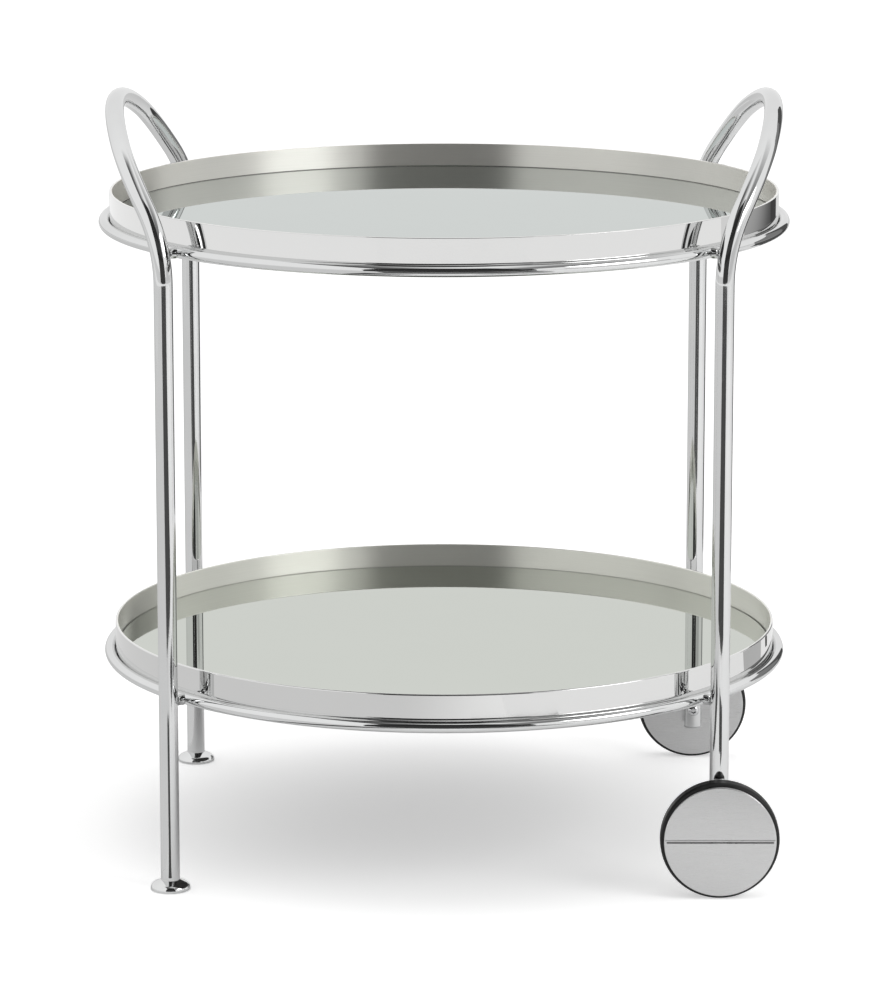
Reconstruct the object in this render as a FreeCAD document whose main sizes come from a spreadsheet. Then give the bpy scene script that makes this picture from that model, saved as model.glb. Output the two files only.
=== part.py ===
"""Round two-tier bar cart on two bent tube hoops, with two fixed wheels on the right.

Frame: +X to the cart's right, +Y to its back, +Z up, origin on the floor under the middle
of the trays. Millimetres and degrees.
"""
import FreeCAD, Part
import math
import os
import Sketcher

SIZES = (
    # Trays
    ("band_radius", 360, "outer radius of a tray's band"),
    ("band_wall", 3, "thickness of the band"),
    ("band_edge", 1, "rounding of the band's top edges"),
    ("upper_tray_height", 708, "floor to the top of the upper band"),
    ("lower_tray_height", 236, "floor to the top of the lower band"),
    ("ring_drop", 33, "band top down to the middle of its ring"),
    ("ring_tube", 12, "diameter of the ring's bar"),
    ("board_thickness", 6, "backing board under the mirror"),
    ("mirror_thickness", 4, "mirror glass"),
    ("mirror_edge", 0.6, "bevel on the mirror's rim"),
    ("tray_clearance", 1.2, "gap between the band and the board or mirror"),
    ("tab_count", 4, "support tabs under each tray"),
    ("tab_width", 24, "width of a tab"),
    ("tab_thickness", 3, "thickness of a tab"),
    ("tab_reach", 40, "reach of a tab inwards from the band's inner face"),
    ("screw_inset", 22, "band's inner face to a tab screw"),
    ("screw_diameter", 4, "tab screw shank"),
    ("screw_grip", 4.5, "screw length in the board"),
    ("screw_head_diameter", 8, "tab screw head"),
    ("screw_head_height", 2.6, "height of the tab screw head"),
    ("screw_head_round", 1, "rounding of the tab screw head"),
    # Hoops
    ("tube_diameter", 20, "outside of the hoop tube"),
    ("tube_wall", 1.5, "wall of the hoop tube"),
    ("leg_angle", 42.2, "direction of a leg from the X axis, in degrees"),
    ("leg_gap", 7, "clear gap between the ring and a leg"),
    ("stub_diameter", 11, "bar that joins the ring to a leg"),
    ("spring_drop", 64, "upper band's top down to where the legs start to bend into the handle"),
    ("lean_radius", 162, "radius of the outward lean"),
    ("lean_angle", 28.3, "outward lean of the handle, in degrees"),
    ("corner_radius", 152, "radius of the handle's shoulders"),
    ("corner_angle", 68.5, "turn of a shoulder before the flatter top, in degrees"),
    # Feet of the left hoop
    ("foot_diameter", 42, "disc foot"),
    ("foot_edge", 5.8, "height of the foot's upright edge, before it is rounded"),
    ("foot_cone", 4.9, "height of the cone above the edge"),
    ("foot_round", 6, "rounding between the cone and the upright edge"),
    ("pad_diameter", 32, "felt pad under the foot"),
    ("pad_thickness", 2, "thickness of the felt pad"),
    ("pad_proud", 0.5, "how far the pad stands out of the foot"),
    ("stud_diameter", 8, "threaded stud of the foot"),
    ("stud_length", 16, "length of the stud"),
    ("insert_length", 20, "threaded insert in the leg"),
    # Wheels and axles of the right hoop
    ("wheel_diameter", 125, "outside of the tyre"),
    ("tyre_bore", 104, "seat of the tyre on the wheel core"),
    ("tyre_width", 22, "width of the tyre and core"),
    ("tyre_shoulder", 6, "rounding of the tyre's shoulders"),
    ("cap_diameter", 117.5, "side discs of the wheel"),
    ("disc_thickness", 1.5, "inner side disc"),
    ("cap_thickness", 1.8, "outer cap"),
    ("cap_edge", 1, "rounding of the discs' rims"),
    ("rib_width", 3.6, "width of the rib across the outer cap"),
    ("rib_proud", 0.9, "height of the rib above the cap"),
    ("wheel_gap", 4, "leg to the wheel's inner disc"),
    ("leg_end_drop", 20, "axle down to the end of the leg"),
    ("bolt_diameter", 8, "axle bolt shank"),
    ("bolt_head_diameter", 13, "axle bolt head"),
    ("bolt_head_height", 4.5, "height of the axle bolt head"),
    ("bolt_head_round", 4, "rounding of the axle bolt head"),
    ("bolt_tail", 1.5, "bolt past the nut"),
    ("nut_flats", 13, "axle nut across its flats"),
    ("nut_height", 6.5, "height of the axle nut"),
    ("washer_diameter", 16, "axle washer"),
    ("washer_thickness", 1.6, "thickness of the washer"),
    ("spacer_diameter", 16, "spacer between leg and wheel"),
    ("sleeve_diameter", 12, "spreader sleeve inside the leg"),
    ("bush_diameter", 14, "bush pressed into the wheel core"),
    ("recess_diameter", 24, "recess for the nut in the wheel core"),
    ("plug_flange", 1.5, "end plug below the leg"),
    ("plug_depth", 8, "end plug inside the leg"),
    # Clearances
    ("fit_clearance", 0.1, "radial gap of fixed fits"),
    ("hole_clearance", 0.25, "radial gap of a bolt or screw hole"),
    ("running_clearance", 0.05, "radial gap of the bush on the axle"),
    ("side_clearance", 0.3, "end play of the wheel on each side"),
    ("cap_clearance", 1, "gap between the bolt's end and the outer cap"),
)

LAYOUT = (
    ("ring_radius", "Sizes.band_radius + Sizes.ring_tube / 2"),
    ("ring_outside", "Sizes.band_radius + Sizes.ring_tube"),
    ("band_bore", "Sizes.band_radius - Sizes.band_wall"),
    ("band_height", "Sizes.ring_drop + Sizes.ring_tube / 2 - Sizes.tab_thickness"),
    ("upper_base", "Sizes.upper_tray_height - band_height"),
    ("lower_base", "Sizes.lower_tray_height - band_height"),
    ("upper_ring_height", "Sizes.upper_tray_height - Sizes.ring_drop"),
    ("lower_ring_height", "Sizes.lower_tray_height - Sizes.ring_drop"),
    ("spring_height", "Sizes.upper_tray_height - Sizes.spring_drop"),
    ("tube_radius", "Sizes.tube_diameter / 2"),
    ("tube_bore", "tube_radius - Sizes.tube_wall"),
    ("leg_radius", "ring_outside + Sizes.leg_gap + tube_radius"),
    ("leg_x", "leg_radius * cos(Sizes.leg_angle)"),
    ("leg_y", "leg_radius * sin(Sizes.leg_angle)"),
    ("screw_radius", "band_bore - Sizes.screw_inset"),
    ("foot_height", "Sizes.pad_proud + Sizes.foot_edge + Sizes.foot_cone"),
    ("axle_height", "Sizes.wheel_diameter / 2"),
    ("leg_end", "axle_height - Sizes.leg_end_drop"),
    ("wheel_inside", "tube_radius + Sizes.wheel_gap"),
    ("core_inside", "wheel_inside + Sizes.disc_thickness"),
    ("core_outside", "core_inside + Sizes.tyre_width"),
    ("nut_room", "Sizes.side_clearance + Sizes.washer_thickness + Sizes.nut_height + Sizes.bolt_tail"),
    ("recess_depth", "nut_room + Sizes.cap_clearance"),
    ("recess_floor", "core_outside - recess_depth"),
    ("washer_place", "recess_floor + Sizes.side_clearance"),
    ("nut_place", "washer_place + Sizes.washer_thickness"),
    ("bolt_hole", "Sizes.bolt_diameter / 2 + Sizes.hole_clearance"),
    ("sleeve_half", "sqrt(tube_bore ^ 2 - (Sizes.sleeve_diameter / 2) ^ 2) - Sizes.fit_clearance"),
)

SIDES = {"left": -1, "right": 1}
ENDS = {"front": -1, "rear": 1}
TRAYS = ("upper", "lower")
SAME_EDGE = 1e-4
HALVINGS = 50

doc = FreeCAD.newDocument("bar_cart")
sizes = doc.addObject("Spreadsheet::Sheet", "Sizes")
for row, (alias, size, meaning) in enumerate(SIZES, start=1):
    sizes.set(f"A{row}", meaning)
    sizes.set(f"B{row}", str(size))
    sizes.setAlias(f"B{row}", alias)
layout = doc.addObject("Spreadsheet::Sheet", "Layout")
for row, (alias, formula) in enumerate(LAYOUT, start=1):
    layout.set(f"A{row}", alias.replace("_", " "))
    layout.set(f"B{row}", "=" + formula)
    layout.setAlias(f"B{row}", alias)
doc.recompute()

pieces = []


def number(expression):
    """The value of an expression on the two sheets."""
    return float(sizes.evalExpression(expression))


def keep(piece, label):
    """Name a finished sub-part and put it on the list that is written out."""
    piece.Label = label
    pieces.append(piece)
    return piece


def place(piece, x="0", y="0", z="0", turn="rotation(0; 0; 0)"):
    """Bind a sub-part's placement to the sheets."""
    piece.setExpression("Placement", f"placement(vector({x}; {y}; {z}); {turn})")


# Sketched bodies


def origin_plane(body, role):
    return next(plane for plane in body.Origin.OriginFeatures if plane.Role == role)


def outline(body, role, corners):
    """Closed straight-sided sketch on an origin plane, its corners given as expressions."""
    sketch = body.newObject("Sketcher::SketchObject", "Outline")
    sketch.AttachmentSupport = [(origin_plane(body, role), "")]
    sketch.MapMode = "FlatFace"
    points = [FreeCAD.Vector(number(x), number(y), 0) for x, y in corners]
    for here, after in zip(points, points[1:] + points[:1]):
        sketch.addGeometry(Part.LineSegment(here, after), False)
    for index, (x, y) in enumerate(corners):
        sketch.addConstraint(Sketcher.Constraint("Coincident", index, 2, (index + 1) % len(corners), 1))
        for kind, axis, coordinate in (("DistanceX", -2, x), ("DistanceY", -1, y)):
            if coordinate == "0":
                sketch.addConstraint(Sketcher.Constraint("PointOnObject", index, 1, axis))
                continue
            bound = Sketcher.Constraint(kind, -1, 1, index, 1, number(coordinate))
            sketch.setExpression(f"Constraints[{sketch.addConstraint(bound)}]", coordinate)
    return sketch


def revolved(label, corners, axis="Z"):
    """Body of revolution about its own Z or Y axis, from corners (radius, distance along)."""
    body = doc.addObject("PartDesign::Body", label)
    sketch = outline(body, "XZ_Plane" if axis == "Z" else "XY_Plane", corners)
    turn = body.newObject("PartDesign::Revolution", "Turn")
    turn.Profile = sketch
    turn.ReferenceAxis = (sketch, ["V_Axis"])
    turn.Angle = 360
    doc.recompute()
    return body


def ring_profile(inner, outer, low, high):
    """Corners of a plain ring or, with an inner radius of 0, of a plain disc."""
    return [(inner, low), (outer, low), (outer, high), (inner, high)]


def rims(shape, picks, along):
    """Names of the round edges with these radii and distances along the axis."""
    names = []
    for index, edge in enumerate(shape.Edges, start=1):
        if not isinstance(edge.Curve, Part.Circle):
            continue
        for radius, distance in picks:
            off_radius = abs(edge.Curve.Radius - radius)
            off_distance = abs(getattr(edge.Curve.Center, along) - distance)
            if max(off_radius, off_distance) < SAME_EDGE:
                names.append(f"Edge{index}")
    return names


def dress_rims(body, kind, size, picks, axis="Z"):
    """Fillet or chamfer the round edges at the picked (radius, distance) places of a turned body."""
    base = body.Tip
    dressing = body.newObject(f"PartDesign::{kind}", kind)
    wanted = [(number(radius), number(distance)) for radius, distance in picks]
    dressing.Base = (base, rims(base.Shape, wanted, axis.lower()))
    dressing.setExpression("Radius" if kind == "Fillet" else "Size", size)
    doc.recompute()


def drilled(body, radius, depth):
    """Round blind hole up from a body's underside, at the tab screws' radius."""
    sketch = body.newObject("Sketcher::SketchObject", "Drilling")
    sketch.AttachmentSupport = [(origin_plane(body, "XY_Plane"), "")]
    sketch.MapMode = "FlatFace"
    centre = FreeCAD.Vector(number("Layout.screw_radius"), 0, 0)
    sketch.addGeometry(Part.Circle(centre, FreeCAD.Vector(0, 0, 1), number(radius)), False)
    sketch.addConstraint(Sketcher.Constraint("PointOnObject", 0, 3, -1))
    reach = sketch.addConstraint(Sketcher.Constraint("DistanceX", -1, 1, 0, 3, centre.x))
    sketch.setExpression(f"Constraints[{reach}]", "Layout.screw_radius")
    width = sketch.addConstraint(Sketcher.Constraint("Radius", 0, number(radius)))
    sketch.setExpression(f"Constraints[{width}]", radius)
    solid = body.Tip.Shape.Volume
    pocket = body.newObject("PartDesign::Pocket", "Hole")
    pocket.Profile = sketch
    pocket.setExpression("Length", depth)
    pocket.Reversed = True
    doc.recompute()
    if not pocket.Shape.Volume < solid:
        raise RuntimeError(f"the screw holes of {body.Label} cut nothing")
    return pocket


def repeated(body, features):
    """Repeat features of a body round its Z axis, once for each support tab."""
    pattern = body.newObject("PartDesign::PolarPattern", "Around")
    pattern.Originals = features
    pattern.Axis = (next(line for line in body.Origin.OriginFeatures if line.Role == "Z_Axis"), [""])
    pattern.Angle = 360
    pattern.setExpression("Occurrences", "Sizes.tab_count")
    body.Tip = pattern
    doc.recompute()


# Trays: band, backing board and mirror, carried on tabs under the ring


def tray_band(tray):
    band = keep(revolved(f"{tray}_tray_band", ring_profile(
        "Layout.band_bore", "Sizes.band_radius", "0", "Layout.band_height")), f"{tray}_tray_band")
    dress_rims(band, "Fillet", "Sizes.band_edge", [
        ("Layout.band_bore", "Layout.band_height"), ("Sizes.band_radius", "Layout.band_height")])
    place(band, z=f"Layout.{tray}_base")


def tray_board(tray):
    rim = "Layout.band_bore - Sizes.tray_clearance"
    bore = "Sizes.screw_diameter / 2"
    board = keep(revolved(f"{tray}_tray_board", ring_profile(
        "0", rim, "0", "Sizes.board_thickness")), f"{tray}_tray_board")
    drill = drilled(board, bore, "Sizes.screw_grip")
    repeated(board, [drill])
    place(board, z=f"Layout.{tray}_base")


def tray_mirror(tray):
    rim = "Layout.band_bore - Sizes.tray_clearance"
    mirror = keep(revolved(f"{tray}_tray_mirror", ring_profile(
        "0", rim, "0", "Sizes.mirror_thickness")), f"{tray}_tray_mirror")
    dress_rims(mirror, "Chamfer", "Sizes.mirror_edge", [(rim, "Sizes.mirror_thickness")])
    place(mirror, z=f"Layout.{tray}_base + Sizes.board_thickness")


def tray_tabs(tray, ring_bar):
    """Flat tabs under the band and the board, their outer ends cut to the ring that they are welded to."""
    tabs = doc.addObject("PartDesign::Body", f"{tray}_tab_plates")
    tabs.AllowCompound = True
    inner = "Layout.band_bore - Sizes.tab_reach"
    outer = "Layout.ring_radius - Sizes.ring_tube / 4"
    half = "Sizes.tab_width / 2"
    sketch = outline(tabs, "XY_Plane", [
        (inner, f"-{half}"), (outer, f"-{half}"), (outer, half), (inner, half)])
    plate = tabs.newObject("PartDesign::Pad", "Plate")
    plate.Profile = sketch
    plate.setExpression("Length", "Sizes.tab_thickness")
    doc.recompute()
    hole = drilled(tabs, "Sizes.screw_diameter / 2 + Sizes.hole_clearance", "Sizes.tab_thickness")
    repeated(tabs, [plate, hole])
    place(tabs, z=f"Layout.{tray}_base - Sizes.tab_thickness")
    group = keep(doc.addObject("Part::Cut", f"{tray}_tray_tabs"), f"{tray}_tray_tabs")
    group.Base, group.Tool = tabs, ring_bar


def tray_screws(tray):
    shank = "Sizes.screw_diameter / 2 - Sizes.fit_clearance"
    head = "Sizes.screw_head_diameter / 2"
    rise = "Sizes.screw_head_height"
    tip = f"{rise} + Sizes.tab_thickness + Sizes.screw_grip - Sizes.fit_clearance"
    screws = []
    for turn in range(int(number("Sizes.tab_count"))):
        screw = revolved(f"{tray}_screw_{turn}", [
            ("0", "0"), (head, "0"), (head, rise), (shank, rise), (shank, tip), ("0", tip)])
        dress_rims(screw, "Fillet", "Sizes.screw_head_round", [(head, "0")])
        azimuth = f"({turn} * 360 / Sizes.tab_count)"
        place(screw, f"Layout.screw_radius * cos({azimuth})", f"Layout.screw_radius * sin({azimuth})",
              f"Layout.{tray}_base - Sizes.tab_thickness - Sizes.screw_head_height")
        screws.append(screw)
    group = keep(doc.addObject("Part::Compound", f"{tray}_tray_screws"), f"{tray}_tray_screws")
    group.Links = screws


def ring(tray):
    bar = keep(doc.addObject("Part::Torus", f"{tray}_ring"), f"{tray}_ring")
    bar.setExpression("Radius1", "Layout.ring_radius")
    bar.setExpression("Radius2", "Sizes.ring_tube / 2")
    place(bar, z=f"Layout.{tray}_ring_height")
    return bar


# Hoops: one tube a side, up a front leg, over the leaning handle and down the rear leg


class Handle:
    """Middle line of a hoop's handle: a flat three-centred arch, leaned outwards over a bend."""

    def __init__(self):
        self.half_span = number("Layout.leg_y")
        self.leg_x = number("Layout.leg_x")
        self.spring = number("Layout.spring_height")
        self.lean_radius = number("Sizes.lean_radius")
        self.lean = math.radians(number("Sizes.lean_angle"))
        self.corner_radius = number("Sizes.corner_radius")
        self.corner = math.radians(number("Sizes.corner_angle"))
        shoulder = self.corner_radius * (1 - math.cos(self.corner))
        self.top_radius = (self.half_span - shoulder) / math.cos(self.corner)

    def flat(self, heading):
        """Distance from the middle and run along the flat arch where it has turned by heading."""
        turned = min(heading, self.corner)
        span = self.half_span - self.corner_radius * (1 - math.cos(turned))
        run = self.corner_radius * math.sin(turned)
        if heading > self.corner:
            span -= self.top_radius * (math.cos(self.corner) - math.cos(heading))
            run += self.top_radius * (math.sin(heading) - math.sin(self.corner))
        return span, run

    def heading_at(self, run):
        """How far the flat arch has turned at a run along it."""
        shoulder = self.corner_radius * math.sin(self.corner)
        if run <= shoulder:
            return math.asin(run / self.corner_radius)
        return math.asin(min(1, (run - shoulder) / self.top_radius + math.sin(self.corner)))

    def station(self, heading):
        """Point and direction of the leaned arch on the right front shoulder."""
        span, run = self.flat(heading)
        tilt = min(run / self.lean_radius, self.lean)
        straight = run - tilt * self.lean_radius
        x = self.leg_x + self.lean_radius * (1 - math.cos(tilt)) + straight * math.sin(tilt)
        z = self.spring + self.lean_radius * math.sin(tilt) + straight * math.cos(tilt)
        along = math.cos(heading)
        direction = FreeCAD.Vector(along * math.sin(tilt), math.sin(heading), along * math.cos(tilt))
        return FreeCAD.Vector(x, -span, z), direction

    def at_height(self, height):
        """Where a leg's middle line crosses a height, as x and distance from the middle."""
        low, high = 0, math.pi / 2
        for _ in range(HALVINGS):
            heading = (low + high) / 2
            if self.station(heading)[0].z < height:
                low = heading
            else:
                high = heading
        point = self.station(low)[0]
        return point.x, -point.y

    def stations(self):
        """Stations from the right front spring to the right rear spring."""
        lean_end = self.heading_at(self.lean_radius * self.lean)
        headings = sorted({0, lean_end / 2, lean_end, self.corner, math.pi / 2})
        rising = [self.station(heading) for heading in headings]
        falling = [(FreeCAD.Vector(point.x, -point.y, point.z), FreeCAD.Vector(-way.x, way.y, -way.z))
                   for point, way in reversed(rising[:-1])]
        return rising + falling


def tangent_arc(start, direction, end):
    """Circular arc from a point along a direction to an end point."""
    chord = end - start
    normal = direction.cross(chord).cross(direction)
    radius = chord.dot(chord) / (2 * chord.dot(normal.normalize()))
    centre = start + normal * radius
    middle = (start - centre) + (end - centre)
    return Part.Arc(start, centre + middle.normalize() * radius, end).toShape()


def biarc(here, after):
    """Two arcs that join two stations and keep both directions."""
    (start, way_out), (end, way_in) = here, after
    chord = end - start
    ways = way_out + way_in
    a = ways.dot(ways) - 4
    b = -2 * chord.dot(ways)
    c = chord.dot(chord)
    reach = (-b - math.sqrt(b * b - 4 * a * c)) / (2 * a)
    joint = (start + way_out * reach + end - way_in * reach) * 0.5
    return [tangent_arc(start, way_out, joint), tangent_arc(end, way_in * -1, joint)]


def hoop_line(handle, side, leg_bottom):
    """Middle line of a whole hoop as lines and tangent arcs."""
    stations = []
    for point, way in handle.stations():
        stations.append((
            FreeCAD.Vector(side * point.x, point.y, point.z),
            FreeCAD.Vector(side * way.x, way.y, way.z)))
    first, last = stations[0][0], stations[-1][0]
    edges = [Part.LineSegment(FreeCAD.Vector(first.x, first.y, leg_bottom), first).toShape()]
    for here, after in zip(stations, stations[1:]):
        edges += biarc(here, after)
    edges.append(Part.LineSegment(last, FreeCAD.Vector(last.x, last.y, leg_bottom)).toShape())
    return Part.Wire(Part.__sortEdges__(edges))


def rod_along(line, radius):
    """Round solid bar swept along a middle line that starts straight up."""
    start = line.OrderedVertexes[0].Point
    rim = Part.Wire(Part.Circle(start, FreeCAD.Vector(0, 0, 1), radius).toShape())
    sweep = Part.BRepOffsetAPI.MakePipeShell(line)
    sweep.add(rim)
    sweep.build()
    sweep.makeSolid()
    return sweep.shape()


def hoop(name, leg_bottom):
    """A hoop's tube, and the filled form of it that cuts the ends of what meets the tube."""
    line = hoop_line(Handle(), SIDES[name], number(leg_bottom))
    filled = doc.addObject("Part::Feature", f"{name}_hoop_form")
    filled.Shape = rod_along(line, number("Layout.tube_radius"))
    tube = filled.Shape.cut(rod_along(line, number("Layout.tube_bore")))
    if name == "right":
        reach = number("Sizes.tube_diameter")
        for end in ENDS.values():
            start = FreeCAD.Vector(
                number("Layout.leg_x"), end * number("Layout.leg_y") - reach, number("Layout.axle_height"))
            tube = tube.cut(Part.makeCylinder(
                number("Layout.bolt_hole"), 2 * reach, start, FreeCAD.Vector(0, 1, 0)))
    piece = keep(doc.addObject("Part::Feature", f"{name}_hoop"), f"{name}_hoop")
    piece.Shape = tube
    return filled


def stub(tray, end, side, ring_bar, hoop_form):
    """Bar from a tray's ring to a leg, its two ends cut to the shapes that they are welded to."""
    label = f"{tray}_{end}_{side}_stub"
    height = f"Layout.{tray}_ring_height"
    leg_x, leg_y = Handle().at_height(number(height))
    bar = doc.addObject("Part::Cylinder", f"{label}_bar")
    bar.setExpression("Radius", "Sizes.stub_diameter / 2")
    bar.Height = math.hypot(leg_x, leg_y) - number("Layout.ring_radius")
    azimuth = math.degrees(math.atan2(ENDS[end] * leg_y, SIDES[side] * leg_x))
    place(bar, f"Layout.ring_radius * cos({azimuth})", f"Layout.ring_radius * sin({azimuth})", height,
          f"rotation({azimuth}; 90; 0)")
    at_ring = doc.addObject("Part::Cut", f"{label}_at_ring")
    at_ring.Base, at_ring.Tool = bar, ring_bar
    at_leg = keep(doc.addObject("Part::Cut", label), label)
    at_leg.Base, at_leg.Tool = at_ring, hoop_form


# Feet of the left hoop: a coned disc on a threaded stud, with a felt pad below


def foot(end):
    x, y = "-Layout.leg_x", f"{ENDS[end]} * Layout.leg_y"
    rim = "Sizes.foot_diameter / 2"
    recess = "Sizes.pad_diameter / 2 + Sizes.fit_clearance"
    seat = "Sizes.pad_thickness - Sizes.pad_proud"
    cone = "Sizes.foot_edge + Sizes.foot_cone"
    stud = "Sizes.stud_diameter / 2"
    tip = f"{cone} + Sizes.stud_length"
    disc = keep(revolved(f"{end}_foot", [
        ("0", seat), (recess, seat), (recess, "0"), (rim, "0"), (rim, "Sizes.foot_edge"),
        ("Layout.tube_radius", cone), (stud, cone), (stud, tip), ("0", tip)]), f"{end}_foot")
    dress_rims(disc, "Fillet", "Sizes.foot_round", [(rim, "Sizes.foot_edge")])
    place(disc, x, y, "Sizes.pad_proud")
    pad = keep(revolved(f"{end}_foot_pad", ring_profile(
        "0", "Sizes.pad_diameter / 2", "0", "Sizes.pad_thickness")), f"{end}_foot_pad")
    place(pad, x, y)
    insert = keep(revolved(f"{end}_foot_insert", ring_profile(
        f"{stud} + Sizes.fit_clearance", "Layout.tube_bore - Sizes.fit_clearance", "0",
        "Sizes.insert_length")), f"{end}_foot_insert")
    place(insert, x, y, "Layout.foot_height")


# Axles of the right hoop and their wheels, each piece turned about an axis that points outwards


def on_axle(piece, end, outwards):
    """Place a piece on the axle of an end, its own Y axis pointing away from the cart's middle."""
    turn = "rotation(0; 0; 0)" if end == "rear" else "rotation(180; 0; 0)"
    place(piece, "Layout.leg_x", f"{ENDS[end]} * (Layout.leg_y + {outwards})", "Layout.axle_height", turn)


def axle(end, hoop_form):
    shank = "Sizes.bolt_diameter / 2"
    head = "Sizes.bolt_head_diameter / 2"
    rise = "Sizes.bolt_head_height"
    tip = f"{rise} + Layout.tube_radius + Layout.nut_place + Sizes.nut_height + Sizes.bolt_tail"
    hole = "Layout.bolt_hole"
    bolt = keep(revolved(f"{end}_axle_bolt", [
        ("0", "0"), (head, "0"), (head, rise), (shank, rise), (shank, tip), ("0", tip)], "Y"),
        f"{end}_axle_bolt")
    dress_rims(bolt, "Fillet", "Sizes.bolt_head_round", [(head, "0")], "Y")
    on_axle(bolt, end, f"-Layout.tube_radius - {rise}")
    sleeve = keep(revolved(f"{end}_axle_sleeve", ring_profile(
        hole, "Sizes.sleeve_diameter / 2", "0", "2 * Layout.sleeve_half"), "Y"), f"{end}_axle_sleeve")
    on_axle(sleeve, end, "-Layout.sleeve_half")
    tube = revolved(f"{end}_spacer_tube", ring_profile(
        hole, "Sizes.spacer_diameter / 2", "0", "Layout.wheel_inside - Sizes.side_clearance"), "Y")
    on_axle(tube, end, "0")
    spacer = keep(doc.addObject("Part::Cut", f"{end}_axle_spacer"), f"{end}_axle_spacer")
    spacer.Base, spacer.Tool = tube, hoop_form
    washer = keep(revolved(f"{end}_axle_washer", ring_profile(
        hole, "Sizes.washer_diameter / 2", "0", "Sizes.washer_thickness"), "Y"), f"{end}_axle_washer")
    on_axle(washer, end, "Layout.washer_place")
    hexagon = doc.addObject("Part::Prism", f"{end}_nut_hexagon")
    hexagon.Polygon = 6
    hexagon.setExpression("Circumradius", "Sizes.nut_flats / 2 / cos(30)")
    hexagon.setExpression("Height", "Sizes.nut_height")
    thread = doc.addObject("Part::Cylinder", f"{end}_nut_thread")
    thread.setExpression("Radius", "Sizes.bolt_diameter / 2 + Sizes.running_clearance")
    thread.setExpression("Height", "Sizes.nut_height")
    nut = keep(doc.addObject("Part::Cut", f"{end}_axle_nut"), f"{end}_axle_nut")
    nut.Base, nut.Tool = hexagon, thread
    place(nut, "Layout.leg_x", f"{ENDS[end]} * (Layout.leg_y + Layout.nut_place)", "Layout.axle_height",
          f"rotation(0; 0; {-90 * ENDS[end]})")
    bore = "Layout.tube_bore - Sizes.fit_clearance"
    plug_top = "Sizes.plug_flange + Sizes.plug_depth"
    plug = keep(revolved(f"{end}_leg_plug", [
        ("0", "0"), ("Layout.tube_radius", "0"), ("Layout.tube_radius", "Sizes.plug_flange"),
        (bore, "Sizes.plug_flange"), (bore, plug_top), ("0", plug_top)]), f"{end}_leg_plug")
    place(plug, "Layout.leg_x", f"{ENDS[end]} * Layout.leg_y", "Layout.leg_end - Sizes.plug_flange")


def wheel(end):
    rim = "Sizes.wheel_diameter / 2"
    seat = "Sizes.tyre_bore / 2"
    width = "Sizes.tyre_width"
    bush_rim = "Sizes.bush_diameter / 2"
    tyre = keep(revolved(f"{end}_tyre", ring_profile(seat, rim, "0", width), "Y"), f"{end}_tyre")
    dress_rims(tyre, "Fillet", "Sizes.tyre_shoulder", [(rim, "0"), (rim, width)], "Y")
    on_axle(tyre, end, "Layout.core_inside")
    floor = "Sizes.tyre_width - Layout.recess_depth"
    recess = "Sizes.recess_diameter / 2"
    core = keep(revolved(f"{end}_wheel_core", [
        (bush_rim, "0"), (seat, "0"), (seat, width), (recess, width), (recess, floor),
        (bush_rim, floor)], "Y"), f"{end}_wheel_core")
    on_axle(core, end, "Layout.core_inside")
    bush = keep(revolved(f"{end}_wheel_bush", ring_profile(
        "Sizes.bolt_diameter / 2 + Sizes.running_clearance", bush_rim, "0",
        "Layout.recess_floor - Layout.wheel_inside"), "Y"), f"{end}_wheel_bush")
    on_axle(bush, end, "Layout.wheel_inside")
    disc_rim = "Sizes.cap_diameter / 2"
    disc = keep(revolved(f"{end}_inner_disc", ring_profile(
        bush_rim, disc_rim, "0", "Sizes.disc_thickness"), "Y"), f"{end}_inner_disc")
    dress_rims(disc, "Fillet", "Sizes.cap_edge", [(disc_rim, "0")], "Y")
    on_axle(disc, end, "Layout.wheel_inside")
    cap = keep(revolved(f"{end}_outer_cap", ring_profile(
        "0", disc_rim, "0", "Sizes.cap_thickness"), "Y"), f"{end}_outer_cap")
    dress_rims(cap, "Fillet", "Sizes.cap_edge", [(disc_rim, "Sizes.cap_thickness")], "Y")
    half = f"{disc_rim} - Sizes.cap_edge"
    low = "Sizes.cap_thickness / 2"
    high = "Sizes.cap_thickness + Sizes.rib_proud"
    rib = cap.newObject("PartDesign::Pad", "Rib")
    rib.Profile = outline(cap, "XY_Plane", [
        (f"-({half})", low), (half, low), (half, high), (f"-({half})", high)])
    rib.setExpression("Length", "Sizes.rib_width")
    rib.Midplane = True
    cap.Tip = rib
    on_axle(cap, end, "Layout.core_outside")


rings = {}
for tray in TRAYS:
    tray_band(tray)
    tray_board(tray)
    tray_mirror(tray)
    rings[tray] = ring(tray)
    tray_tabs(tray, rings[tray])
    tray_screws(tray)
forms = {"left": hoop("left", "Layout.foot_height"), "right": hoop("right", "Layout.leg_end")}
for tray in TRAYS:
    for end in ENDS:
        for side in SIDES:
            stub(tray, end, side, rings[tray], forms[side])
for end in ENDS:
    foot(end)
    axle(end, forms["right"])
    wheel(end)
doc.recompute()

for thing in doc.Objects:
    if "Invalid" in thing.State or "Error" in thing.State:
        raise RuntimeError(f"{thing.Label} did not build: {thing.State}")
os.makedirs("parts", exist_ok=True)
for piece in pieces:
    if piece.Shape.isNull() or not piece.Shape.isValid():
        raise RuntimeError(f"{piece.Label} has no valid shape")
for piece in pieces:
    piece.Shape.exportStep(f"parts/{piece.Label}.step")
    print(f"{piece.Label}: {len(piece.Shape.Solids)} solid, {piece.Shape.Volume / 1000:.2f} cm3")
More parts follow.
